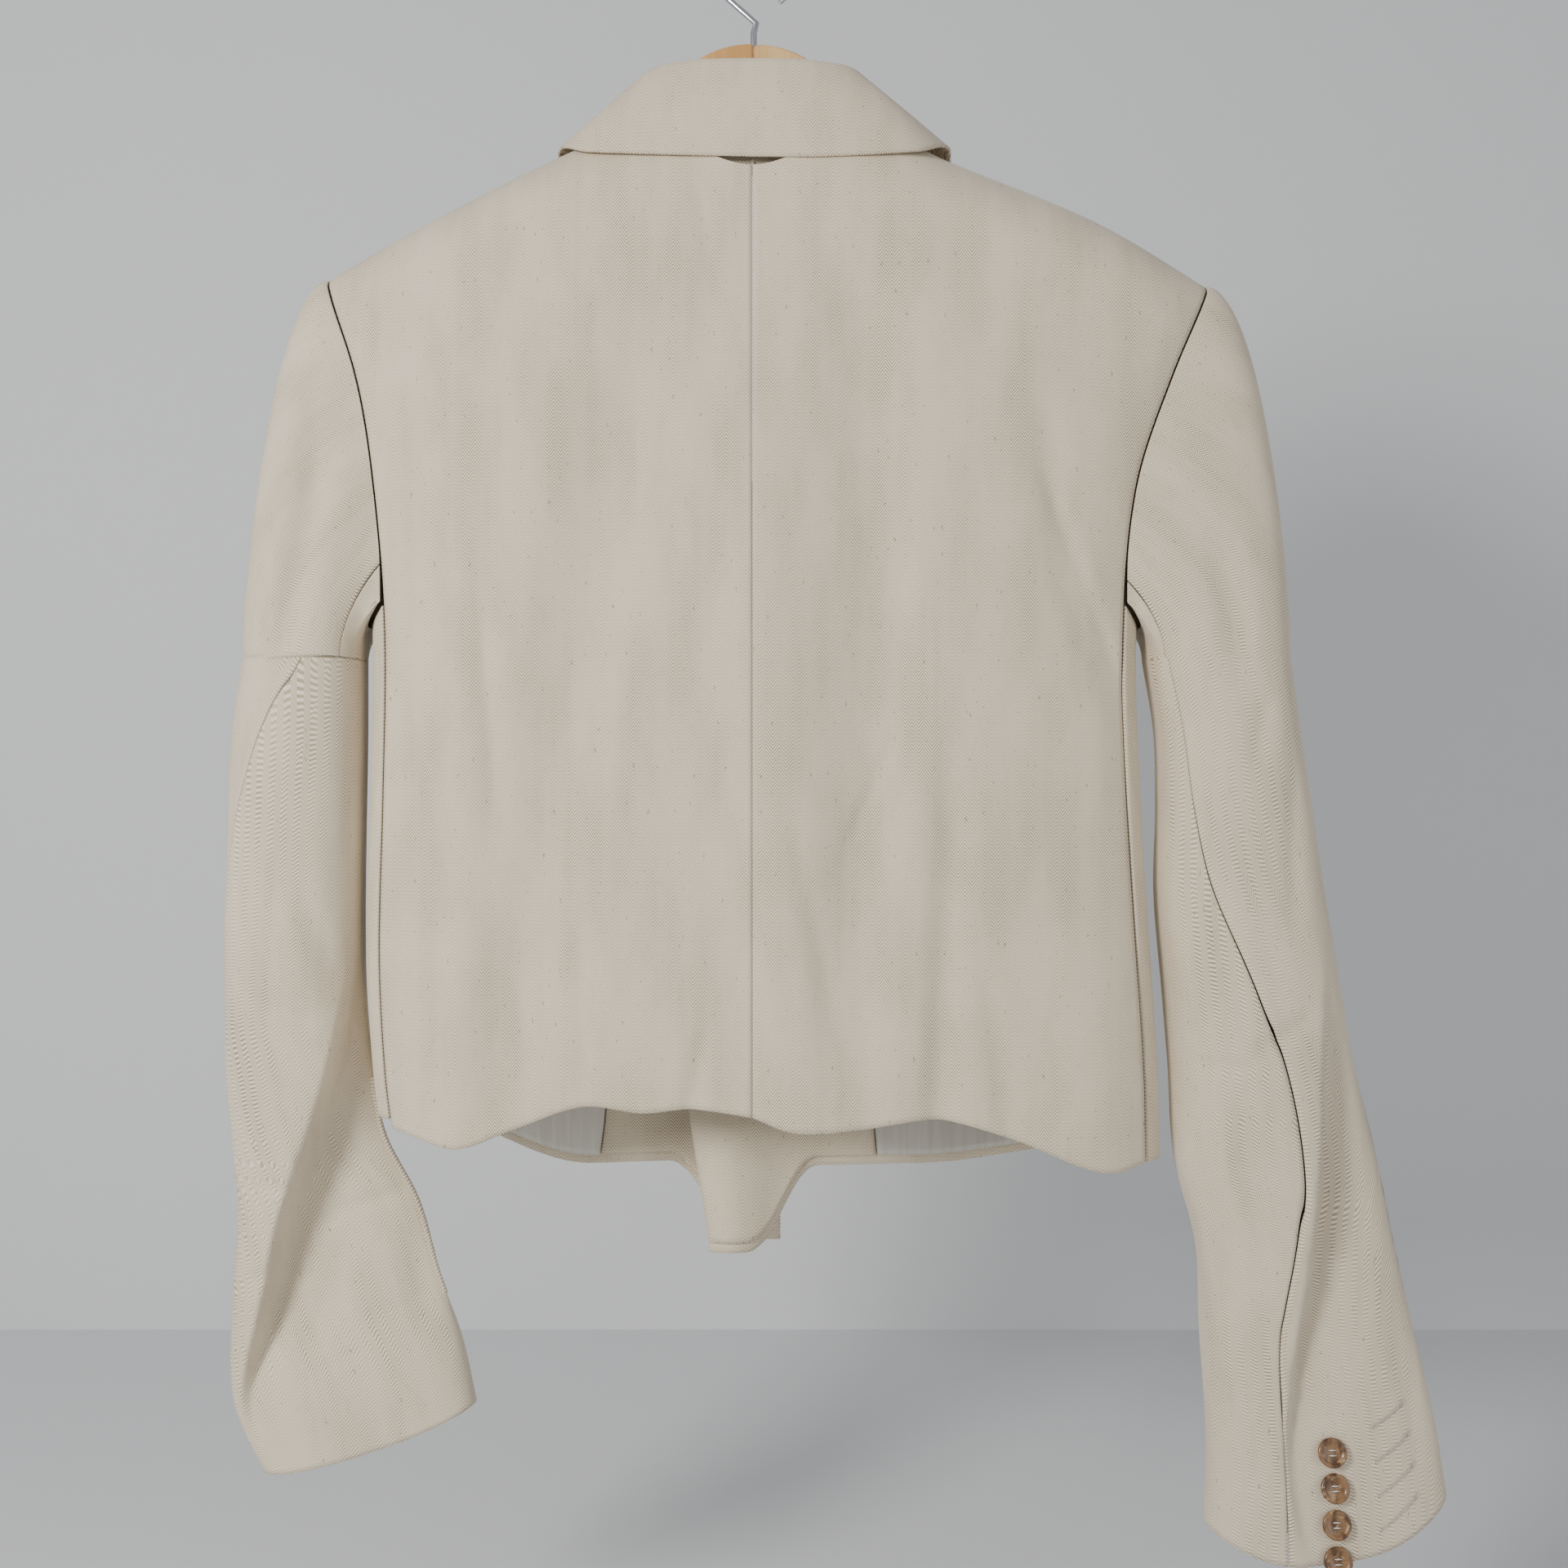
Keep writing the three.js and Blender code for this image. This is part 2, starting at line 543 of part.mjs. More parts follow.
function frontButtons() {
  const rows = [];
  for (const [level, z] of [["upper", UPPER_BUTTON_Z], ["lower", LOWER_BUTTON_Z]]) {
    for (const [label, x] of [["left", 58], ["right", -40]]) {
      const point = frontPoint(LEFT, x, z);
      point.y -= 2.2;
      rows.push(button(`front_button_${level}_${label}`, FRONT_BUTTON_D, point, new THREE.Vector3(0, -1, 0)));
    }
  }
  return rows;
}

// ---- Hanger ----
// Two shaped wooden halves glued at the centre, under a steel hook; the arms follow the shoulders inside.
function hangerHalf(side) {
  const outline = new THREE.Shape();
  outline.moveTo(side * 0.15, -64);
  outline.quadraticCurveTo(side * 34, -64, side * 50, -98);
  outline.quadraticCurveTo(side * 58, -118, side * 82, ridgeAt(side, 82) - ARM_DROP - 3);
  for (let x = 100; x <= 205; x += 15) outline.lineTo(side * x, ridgeAt(side, x) - ARM_DROP);
  const end = ridgeAt(side, 205) - ARM_DROP;
  outline.quadraticCurveTo(side * 213, end - 10, side * 203, end - 16);
  outline.lineTo(side * 75, -158);
  outline.quadraticCurveTo(side * 30, -132, side * 0.15, -130);
  outline.closePath();
  const geometry = new THREE.ExtrudeGeometry(outline, { depth: HANGER_THICK, bevelEnabled: false, curveSegments: 10 });
  geometry.rotateX(Math.PI / 2);
  geometry.translate(0, BODY_MID_Y + HANGER_THICK / 2, 0);
  return named(`hanger_${side === LEFT ? "left" : "right"}`, WOOD_COLOUR, geometry, 0.45);
}

// The hook: a wire that rises from the wood and turns over; the inside of its crest is the origin.
function hook() {
  const wire = 3.6;
  const radius = 21 + wire / 2;
  const path = new THREE.CurvePath();
  const points = [];
  for (let i = 0; i <= 22; i += 1) {
    const angle = mix(-0.3, 1.25, i / 22) * Math.PI;
    points.push(new THREE.Vector3(radius * Math.cos(Math.PI - angle), 0, -21 + radius * Math.sin(angle)));
  }
  points.reverse();
  const neck = [new THREE.Vector3(0, 0, -63.6), new THREE.Vector3(0, 0, -56), new THREE.Vector3(-2, 0, -49)];
  const curve = new THREE.CatmullRomCurve3([...neck, ...points.slice(0, -2)].reverse());
  path.add(curve);
  const section = new THREE.Shape().absarc(0, 0, wire / 2, 0, 2 * Math.PI);
  const geometry = new THREE.ExtrudeGeometry(section, { steps: 40, extrudePath: curve, curveSegments: 3 });
  geometry.translate(0, BODY_MID_Y, 0);
  return named("hanger_hook", STEEL_COLOUR, geometry, 0.25, 1);
}

const parts = [];
for (const side of [LEFT, RIGHT]) {
  const label = side === LEFT ? "left" : "right";
  parts.push(backPanel(side), sidePanel(side), frontPanel(side));
  parts.push(frontLayer(`facing_${label}`, side, CLOTH_COLOUR, 8 / 12, 0.995, 4));
  parts.push(frontLayer(`lining_${label}`, side, LINING_COLOUR, 1 / 12, 0.663, 7));
  parts.push(lapel(side), hangerHalf(side));
  parts.push(sleevePiece(`sleeve_upper_${label}`, side, true), sleevePiece(`sleeve_under_${label}`, side, false));
  parts.push(...cuffButtons(side));
}
parts.push(collarFall(), collarStand(), ...frontButtons(), hook());

export default new THREE.Group().add(...parts);
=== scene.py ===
import math

import bpy
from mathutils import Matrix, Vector


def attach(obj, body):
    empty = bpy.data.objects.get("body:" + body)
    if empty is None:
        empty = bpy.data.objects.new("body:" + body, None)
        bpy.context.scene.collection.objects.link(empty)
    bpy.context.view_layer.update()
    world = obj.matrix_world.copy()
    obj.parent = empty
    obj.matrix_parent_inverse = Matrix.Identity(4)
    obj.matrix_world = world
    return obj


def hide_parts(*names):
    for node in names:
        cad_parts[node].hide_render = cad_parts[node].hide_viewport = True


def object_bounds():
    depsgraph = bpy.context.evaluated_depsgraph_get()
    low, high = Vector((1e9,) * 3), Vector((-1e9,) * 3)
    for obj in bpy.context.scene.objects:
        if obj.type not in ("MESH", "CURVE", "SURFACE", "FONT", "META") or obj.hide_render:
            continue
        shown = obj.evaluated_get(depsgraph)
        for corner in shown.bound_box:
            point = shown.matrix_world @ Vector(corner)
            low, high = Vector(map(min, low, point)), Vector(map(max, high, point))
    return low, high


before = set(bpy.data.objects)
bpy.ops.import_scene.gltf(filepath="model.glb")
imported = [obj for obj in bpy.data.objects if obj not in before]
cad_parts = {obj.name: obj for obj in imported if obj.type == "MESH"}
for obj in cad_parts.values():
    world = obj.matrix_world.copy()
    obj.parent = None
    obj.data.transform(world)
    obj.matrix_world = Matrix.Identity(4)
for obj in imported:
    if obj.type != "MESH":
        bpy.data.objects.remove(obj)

cad_box = [list(corner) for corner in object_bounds()]

# Camera, pale floor and backdrop, and soft light.
# The jacket is seen from behind, level with its middle, from a little under a metre away.
camera = bpy.data.objects.new("camera", bpy.data.cameras.new("camera"))
camera.location = (-0.016, 0.9, -0.453)
camera.rotation_euler = (math.radians(90), 0, math.radians(180))
camera.data.lens = 39.3
camera.data.sensor_width = 36
bpy.context.scene.collection.objects.link(camera)
bpy.context.scene.camera = camera


def plain_material(name, colour, roughness):
    material = bpy.data.materials.new(name)
    material.use_nodes = True
    shader = material.node_tree.nodes["Principled BSDF"]
    shader.inputs["Base Color"].default_value = (*colour, 1)
    shader.inputs["Roughness"].default_value = roughness
    return material


def studio_plane(name, size, place, turn):
    mesh = bpy.data.meshes.new(name)
    half = size / 2
    mesh.from_pydata([(-half, -half, 0), (half, -half, 0), (half, half, 0), (-half, half, 0)], [], [(0, 1, 2, 3)])
    plane = bpy.data.objects.new(name, mesh)
    plane.location = place
    plane.rotation_euler = turn
    mesh.materials.append(paper)
    bpy.context.scene.collection.objects.link(plane)


paper = plain_material("studio paper", (0.72, 0.73, 0.74), 0.9)
studio_plane("floor", 9, (0, 0, cad_box[0][2] - 0.12), (0, 0, 0))
studio_plane("backdrop", 9, (0, -0.75, 0), (math.radians(-90), 0, 0))


def soft_light(name, place, aim, size, power, colour):
    light = bpy.data.lights.new(name, "AREA")
    light.shape = "DISK"
    light.size = size
    light.energy = power
    light.color = colour
    lamp = bpy.data.objects.new(name, light)
    lamp.location = place
    lamp.rotation_euler = (Vector(aim) - Vector(place)).to_track_quat("-Z", "Y").to_euler()
    bpy.context.scene.collection.objects.link(lamp)


middle = (0, 0, -0.45)
soft_light("key", (1.0, 1.25, -0.05), middle, 0.45, 26, (1.0, 0.985, 0.96))
soft_light("fill", (-1.3, 1.2, -0.3), middle, 1.4, 7, (1.0, 0.98, 0.95))
soft_light("front fill", (0.6, -1.6, 0.2), middle, 1.4, 20, (1, 1, 1))
world = bpy.data.worlds.new("studio")
world.use_nodes = True
world.node_tree.nodes["Background"].inputs["Color"].default_value = (0.93, 0.95, 1.0, 1)
world.node_tree.nodes["Background"].inputs["Strength"].default_value = 0.42
bpy.context.scene.world = world

# Herringbone cloth: cream and grey-brown yarns woven in narrow zigzag columns along the warp,
# with darker slubs and faint lengthwise streaks. Matt, with the soft sheen of linen.
MM = 0.001
CHEVRON = 6.7 * MM  # width of one full zigzag
RIB = 1.86 * MM  # distance from one zigzag to the next along the warp
ZIGZAG = 2.5  # how many ribs a zigzag rises over half its width


def node(tree, kind, inputs=(), **settings):
    made = tree.nodes.new(kind)
    for key, value in settings.items():
        setattr(made, key, value)
    for socket, value in dict(inputs).items():
        if isinstance(value, bpy.types.NodeSocket):
            tree.links.new(value, made.inputs[socket])
        else:
            made.inputs[socket].default_value = value
    return made


def math_node(tree, operation, first, second=0.0):
    return node(tree, "ShaderNodeMath", {0: first, 1: second}, operation=operation).outputs[0]


def blended(tree, factor, first, second, blend="MIX"):
    made = node(tree, "ShaderNodeMix", data_type="RGBA", blend_type=blend)
    for socket, value in ((made.inputs[0], factor), (made.inputs[6], first), (made.inputs[7], second)):
        if isinstance(value, bpy.types.NodeSocket):
            tree.links.new(value, socket)
        else:
            socket.default_value = value
    return made.outputs[2]


def ranged(tree, value, low, high, to_low=0.0, to_high=1.0):
    inputs = {0: value, 1: low, 2: high, 3: to_low, 4: to_high}
    return node(tree, "ShaderNodeMapRange", inputs, interpolation_type="SMOOTHSTEP").outputs[0]


def noise(tree, vector, scale, stretch=(1, 1, 1), detail=2.0):
    mapped = node(tree, "ShaderNodeMapping", {"Vector": vector, "Scale": stretch})
    return node(tree, "ShaderNodeTexNoise", {"Vector": mapped.outputs[0], "Scale": scale, "Detail": detail}).outputs[0]


def herringbone_material(name, cream, brown):
    material = bpy.data.materials.new(name)
    material.use_nodes = True
    tree = material.node_tree
    shader = tree.nodes["Principled BSDF"]
    uv = node(tree, "ShaderNodeUVMap", uv_map="cloth").outputs[0]
    parts = node(tree, "ShaderNodeSeparateXYZ", {0: uv})
    wander = noise(tree, uv, 260, (1, 0.15, 1))
    across = math_node(tree, "ADD", parts.outputs[0], math_node(tree, "MULTIPLY", wander, 0.0006))
    column = math_node(tree, "PINGPONG", math_node(tree, "DIVIDE", across, CHEVRON), 0.5)
    rise = math_node(tree, "MULTIPLY", column, 2 * ZIGZAG)
    ribs = math_node(tree, "ADD", math_node(tree, "DIVIDE", parts.outputs[1], RIB), rise)
    wave = math_node(tree, "SINE", math_node(tree, "MULTIPLY", ribs, 2 * math.pi))
    rib = ranged(tree, wave, -0.55, 0.75)
    yarn = noise(tree, uv, 1900, (1, 0.55, 1), 1)
    mask = ranged(tree, math_node(tree, "ADD", rib, math_node(tree, "MULTIPLY", yarn, 0.7)), 0.55, 1.15)
    patch = ranged(tree, noise(tree, uv, 38, (1, 0.35, 1), 4), 0.3, 0.72, 0.55, 1.0)
    strength = math_node(tree, "MULTIPLY", mask, patch)
    woven = blended(tree, strength, (*cream, 1), (*brown, 1))
    streak = ranged(tree, noise(tree, uv, 120, (1, 0.02, 1), 3), 0.4, 0.75, 0.0, 0.35)
    woven = blended(tree, streak, woven, (*[c * 0.84 for c in cream], 1))
    slub = ranged(tree, noise(tree, uv, 560, (1, 0.4, 1), 2), 0.66, 0.76, 0.0, 0.55)
    woven = blended(tree, slub, woven, (*[c * 0.45 for c in brown], 1))
    tree.links.new(woven, shader.inputs["Base Color"])
    shader.inputs["Roughness"].default_value = 0.92
    shader.inputs["Specular IOR Level"].default_value = 0.22
    shader.inputs["Sheen Weight"].default_value = 0.22
    shader.inputs["Sheen Roughness"].default_value = 0.5
    height = math_node(tree, "ADD", rib, math_node(tree, "MULTIPLY", yarn, 0.9))
    crumple = noise(tree, uv, 26, (1, 0.6, 1), 5)
    fine = node(tree, "ShaderNodeBump", {"Strength": 0.35, "Distance": 0.00018, "Height": height})
    soft = node(tree, "ShaderNodeBump", {"Strength": 0.3, "Distance": 0.0025, "Height": crumple, "Normal": fine.outputs[0]})
    tree.links.new(soft.outputs[0], shader.inputs["Normal"])
    return material


cloth = herringbone_material("oatmeal herringbone", (0.80, 0.70, 0.535), (0.33, 0.26, 0.175))

# The body's form, as the cloth hangs on the hanger: two halves of the back, a side panel under each arm,
# and two fronts that cross at the centre. The back falls in long soft folds from the shoulder blades.
LEFT = 1
RIGHT = -1
SIDE_NAMES = {LEFT: "left", RIGHT: "right"}
CLOTH = 1.6
SEAM_GAP = 0.3
BODY_MID_Y = -5
BACK_DEPTH = 43
FRONT_DEPTH = 42
BODY_POWER = 3
SHOULDER_ROUND = 42
SHOULDER_SHARE = 0.25
ARMHOLE_RATIO = 0.95
UNDERARM_Z = -372
NECK_HALF = 72
NECK_POINT_Z = -113
BACK_NECK_Z = -141
BREAK_Z = -432

HALF_WIDTH = {  # (height, half width)
    LEFT: [(-186, 236), (-242, 216), (-300, 206), (-375, 200), (-460, 201), (-540, 203), (-600, 200), (-640, 195)],
    RIGHT: [(-190, 252), (-242, 228), (-300, 208), (-375, 201), (-460, 203), (-540, 208), (-600, 212), (-640, 213)],
}
SHOULDER_LINE = {  # (distance from the centre, height)
    LEFT: [(0, -98), (NECK_HALF, NECK_POINT_Z), (102, -125), (165, -156), (224, -188)],
    RIGHT: [(0, -98), (NECK_HALF, NECK_POINT_Z), (100, -126), (179, -158), (239, -192)],
}
SHOULDER_TIP = {LEFT: 222, RIGHT: 237}
BACK_HEM = {  # (distance from the centre, height)
    LEFT: [(0, -621), (31, -617), (55, -619), (85, -616), (120, -628), (150, -638), (172, -634), (200, -626)],
    RIGHT: [(0, -621), (20, -628), (54, -627), (95, -623), (132, -633), (180, -651), (213, -644)],
}
FRONT_EDGE = {  # (height, distance from the centre)
    LEFT: [(NECK_POINT_Z, NECK_HALF), (-180, 54), (BREAK_Z, -62), (-560, -40), (-660, -14)],
    RIGHT: [(NECK_POINT_Z, NECK_HALF), (-180, 54), (BREAK_Z, -62), (-560, -50), (-628, -36), (-700, -24)],
}
LAYER = {LEFT: -6, RIGHT: 6}
BACK_FOLDS = [  # path as (height, place), width, depth
    ([(-235, 60), (-396, 92), (-595, 125)], 22, -7),
    ([(-194, -55), (-376, -64), (-563, -47)], 20, -6),
    ([(-290, -2), (-470, -16), (-626, -32)], 24, 5),
    ([(-438, -102), (-620, -94)], 9, -4),
    ([(-268, -150), (-351, -162), (-420, -192)], 9, -3),
    ([(-365, 138), (-448, 132)], 8, -2.5),
    ([(-520, 150), (-640, 150)], 22, 5),
    ([(-540, -178), (-650, -182)], 24, 5),
]


def smooth(t):
    held = min(1.0, max(0.0, t))
    return held * held * (3 - 2 * held)


def mix(first, second, t):
    return first + (second - first) * t


def along(rows, at):
    """A smooth line through rows of (place, value)."""
    last = len(rows) - 1
    rising = rows[last][0] > rows[0][0]
    i = 0
    while i < last - 1 and (at > rows[i + 1][0] if rising else at < rows[i + 1][0]):
        i += 1
    (p0, v0), (p1, v1) = rows[i], rows[i + 1]
    span = p1 - p0
    t = min(1.0, max(0.0, (at - p0) / span))
    before, after = rows[max(0, i - 1)], rows[min(last, i + 2)]
    s0 = (v1 - before[1]) / (p1 - before[0]) * span
    s1 = (after[1] - v0) / (after[0] - p0) * span
    return v0 * (2 * t**3 - 3 * t**2 + 1) + s0 * (t**3 - 2 * t**2 + t) + v1 * (3 * t**2 - 2 * t**3) + s1 * (t**3 - t**2)


def width_at(side, z):
    return along(HALF_WIDTH[side], z)


def ridge_at(side, x):
    return along(SHOULDER_LINE[side], abs(x))


def folds_at(x, z):
    total = 0
    for path, width, depth in BACK_FOLDS:
        inside = smooth((path[0][0] + 25 - z) / 60) * smooth((z - path[-1][0] + 70) / 60)
        if inside:
            total += depth * inside * math.exp(-(((x - along(path, z)) / width) ** 2))
    return total


def fullness(side, x, z):
    down = min(1.0, max(0.0, (ridge_at(side, x) - z) / SHOULDER_ROUND))
    across = min(1.0, abs(x) / width_at(side, z))
    return math.sqrt(1 - (1 - down) ** 2) * (1 - across**BODY_POWER) ** (1 / BODY_POWER)


# Creases pressed into the back by storage and hanging: from, to, width, depth.
BACK_CREASES = [
    ((138, -365), (132, -448), 3.5, -1.4),
    ((171, -424), (164, -465), 3, -1.0),
    ((24, -579), (31, -619), 5, -1.8),
    ((-74, -425), (-50, -480), 3, -1.2),
    ((-150, -300), (-178, -372), 4, -1.8),
    ((-178, -372), (-194, -412), 4, -1.6),
    ((26, -160), (20, -196), 3.5, -1.0),
    ((-120, -560), (-128, -625), 6, -1.6),
    ((90, -500), (84, -600), 5, -1.2),
    ((-20, -470), (-38, -560), 6, -1.4),
    ((-160, -590), (-196, -598), 4, -1.2),
    ((190, -520), (150, -560), 6, -1.0),
]


def creases_at(rows, x, z):
    total = 0
    for (x0, z0), (x1, z1), width, depth in rows:
        dx, dz = x1 - x0, z1 - z0
        length = math.hypot(dx, dz)
        t = ((x - x0) * dx + (z - z0) * dz) / length**2
        if -0.4 < t < 1.4:
            off = ((x - x0) * dz - (z - z0) * dx) / length
            fade = smooth((t + 0.35) / 0.5) * smooth((1.35 - t) / 0.5)
            total += depth * fade * math.exp(-((off / width) ** 2))
    return total


def back_point(side, x, z):
    share = fullness(side, x, z)
    return Vector((x, BODY_MID_Y + (BACK_DEPTH + folds_at(x, z) + creases_at(BACK_CREASES, x, z)) * share, z))


def front_point(side, x, z):
    share = fullness(side, x, z)
    crossing = smooth((95 - side * x) / 60) * smooth((-150 - z) / 80)
    y = BODY_MID_Y - FRONT_DEPTH * share + LAYER[side] * crossing
    if side == RIGHT:
        y += 17 * smooth((-560 - z) / 90) * math.exp(-(((x - 14) / 26) ** 2))
    return Vector((x, y, z))


def side_point(side, turn, z):
    edge = math.acos(ARMHOLE_RATIO ** (BODY_POWER / 2))
    angle = mix(edge, -edge, turn)
    x = width_at(side, z) * math.cos(angle) ** (2 / BODY_POWER)
    deep = abs(math.sin(angle)) ** (2 / BODY_POWER)
    return Vector((side * x, BODY_MID_Y + (BACK_DEPTH if angle > 0 else -FRONT_DEPTH) * deep, z))


def seam_x(side, z):
    return width_at(side, z) * ARMHOLE_RATIO


def back_hem(side, x):
    return along(BACK_HEM[side], abs(x))


def front_hem(side, x):
    from_edge = side * x + (24 if side == RIGHT else 14)
    level = mix(-662, back_hem(side, 200), smooth((side * x - 90) / 110))
    return level - 44 * smooth((62 - from_edge) / 44)


def over_shoulder(top, bottom, v):
    angle = mix(0.008, math.pi / 2, min(1.0, v / SHOULDER_SHARE))
    if v < SHOULDER_SHARE:
        return top - SHOULDER_ROUND * (1 - math.cos(angle))
    return mix(top - SHOULDER_ROUND, bottom, (v - SHOULDER_SHARE) / (1 - SHOULDER_SHARE))


def back_at(side, u, v):
    share = mix(SEAM_GAP / 400, 1 - SEAM_GAP / 100, u)
    top_x = share * SHOULDER_TIP[side]
    neck = BACK_NECK_Z + (NECK_POINT_Z - BACK_NECK_Z) * smooth(top_x / NECK_HALF)
    top = neck if top_x < NECK_HALF else ridge_at(side, top_x)
    z = over_shoulder(top, back_hem(side, share * seam_x(side, -630)), v)
    return back_point(side, side * share * min(SHOULDER_TIP[side], seam_x(side, z)), z)


def side_at(side, u, v):
    turn = mix(0.022, 0.984, u)
    top = UNDERARM_Z + 12 * (2 * turn - 1) ** 2
    return side_point(side, turn, mix(top, back_hem(side, 200), v))


def front_at(side, u, v):
    top_x = mix(SHOULDER_TIP[side], NECK_HALF, u)
    hem_x = mix(seam_x(side, -640), along(FRONT_EDGE[side], -690), u)
    z = over_shoulder(ridge_at(side, top_x), front_hem(side, side * hem_x), v)
    x = mix(min(SHOULDER_TIP[side], seam_x(side, z)) - SEAM_GAP, along(FRONT_EDGE[side], z), u)
    return front_point(side, side * x, z)


def sheet_mesh(name, at, columns, rows, lift=0.0):
    """One face of cloth through at(u, v), in metres, with its arc lengths as the weave's coordinates."""
    grid = [[at(i / columns, j / rows) for i in range(columns + 1)] for j in range(rows + 1)]
    if lift:
        lifted = []
        for j in range(rows + 1):
            line = []
            for i in range(columns + 1):
                a = grid[j][min(columns, i + 1)] - grid[j][max(0, i - 1)]
                b = grid[min(rows, j + 1)][i] - grid[max(0, j - 1)][i]
                line.append(grid[j][i] + a.cross(b).normalized() * lift)
            lifted.append(line)
        grid = lifted
    mesh = bpy.data.meshes.new(name)
    points = [point * MM for line in grid for point in line]
    size = columns + 1
    faces = [
        (j * size + i, j * size + i + 1, (j + 1) * size + i + 1, (j + 1) * size + i)
        for j in range(rows)
        for i in range(columns)
    ]
    mesh.from_pydata(points, [], faces)
    across = [[0.0] * size for _ in range(rows + 1)]
    down = [[0.0] * size for _ in range(rows + 1)]
    for j in range(rows + 1):
        for i in range(size):
            if i:
                across[j][i] = across[j][i - 1] + (grid[j][i] - grid[j][i - 1]).length * MM
            if j:
                down[j][i] = down[j - 1][i] - (grid[j][i] - grid[j - 1][i]).length * MM
    layer = mesh.uv_layers.new(name="cloth")
    for loop in mesh.loops:
        j, i = divmod(loop.vertex_index, size)
        layer.data[loop.index].uv = (across[j][i], down[j][i])
    for polygon in mesh.polygons:
        polygon.use_smooth = True
    area = sum(polygon.area for polygon in mesh.polygons)
    return mesh, area


def grain_from_place(mesh, side):
    """Warp straight down: the weave follows the height and the distance from the centre."""
    layer = mesh.uv_layers["cloth"]
    for loop in mesh.loops:
        point = mesh.vertices[loop.vertex_index].co
        layer.data[loop.index].uv = (point.x, point.z)


def piece(name, at, columns, rows, material, nodes, flip, thick=CLOTH, lift=0.0, grain=True):
    """A shell of cloth with its wall behind the face, sewn in place of its solid."""
    mesh, area = sheet_mesh(name, at, columns, rows, lift)
    if grain:
        grain_from_place(mesh, 1)
    if flip:
        mesh.flip_normals()
    mesh.materials.append(material)
    made = bpy.data.objects.new(name, mesh)
    bpy.context.scene.collection.objects.link(made)
    wall = made.modifiers.new("wall", "SOLIDIFY")
    wall.thickness = thick * MM
    wall.offset = -1
    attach(made, "root")
    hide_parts(*nodes)
    return made


for side, label in SIDE_NAMES.items():
    mirrored = side == RIGHT
    piece(
        f"back_half_{label}", lambda u, v: back_at(side, u, v), 90, 170, cloth,
        [f"back_{label}"], mirrored,
    )
    piece(
        f"side_panel_{label}", lambda u, v: side_at(side, u, v), 24, 80, cloth,
        [f"side_{label}"], mirrored, grain=False,
    )
    piece(
        f"front_panel_{label}", lambda u, v: front_at(side, u, v), 100, 170, cloth,
        [f"front_{label}"], mirrored,
    )

# Inside the fronts: self-cloth facing down each front edge and cream lining beside it,
# felled a few millimetres above the hem. They show below the back hem.
def satin_material(name, colour):
    material = bpy.data.materials.new(name)
    material.use_nodes = True
    tree = material.node_tree
    shader = tree.nodes["Principled BSDF"]
    uv = node(tree, "ShaderNodeUVMap", uv_map="cloth").outputs[0]
    tone = ranged(tree, noise(tree, uv, 300, (1, 0.05, 1), 3), 0.3, 0.7)
    woven = blended(tree, tone, (*colour, 1), (*[c * 0.88 for c in colour], 1))
    tree.links.new(woven, shader.inputs["Base Color"])
    shader.inputs["Roughness"].default_value = 0.55
    shader.inputs["Sheen Weight"].default_value = 0.15
    ripple = noise(tree, uv, 45, (1, 0.4, 1), 4)
    bump = node(tree, "ShaderNodeBump", {"Strength": 0.35, "Distance": 0.002, "Height": ripple})
    tree.links.new(bump.outputs[0], shader.inputs["Normal"])
    return material


lining = satin_material("cream lining", (0.66, 0.63, 0.55))
INSIDE_LIFT = CLOTH + 0.9
FACING_FROM = {LEFT: 0.5, RIGHT: 7 / 12}


def inside_at(side, first, last):
    return lambda u, v: front_at(side, mix(first, last, u), mix(0.5, 0.992, v))


for side, label in SIDE_NAMES.items():
    seam = FACING_FROM[side]
    piece(
        f"front_facing_{label}", inside_at(side, seam, 0.995), 40, 90, cloth,
        [f"facing_{label}"], side == RIGHT, thick=1, lift=-side * INSIDE_LIFT,
    )
    piece(
        f"front_lining_{label}", inside_at(side, 1 / 12, seam - 0.004), 50, 90, lining,
        [f"lining_{label}"], side == RIGHT, thick=1, lift=-side * INSIDE_LIFT,
    )

# Peak lapels: the top of each front edge turned back over its roll line and pressed,
# with the peak pointing up at the shoulder and the edge running down to the break.
LAPEL_TOP_Z = -209
PEAK_RISE = 20
LAPEL_WIDTH = [(0, 94), (0.12, 92), (0.3, 86), (0.6, 64), (0.85, 32), (1, 6)]


def lapel_at(side, u, v):
    z = mix(LAPEL_TOP_Z + PEAK_RISE * u, BREAK_Z + 4, v)
    point = front_point(side, side * (along(FRONT_EDGE[side], z) + 1 + along(LAPEL_WIDTH, v) * u), z)
    point.y -= 2.4 + 2.4 * math.sin(min(1, u * 2) * 1.57) * (1 - 0.7 * u)
    return point


for side, label in SIDE_NAMES.items():
    piece(
        f"peak_lapel_{label}", lambda u, v: lapel_at(side, u, v), 50, 90, cloth,
        [f"lapel_{label}"], side == LEFT,
    )

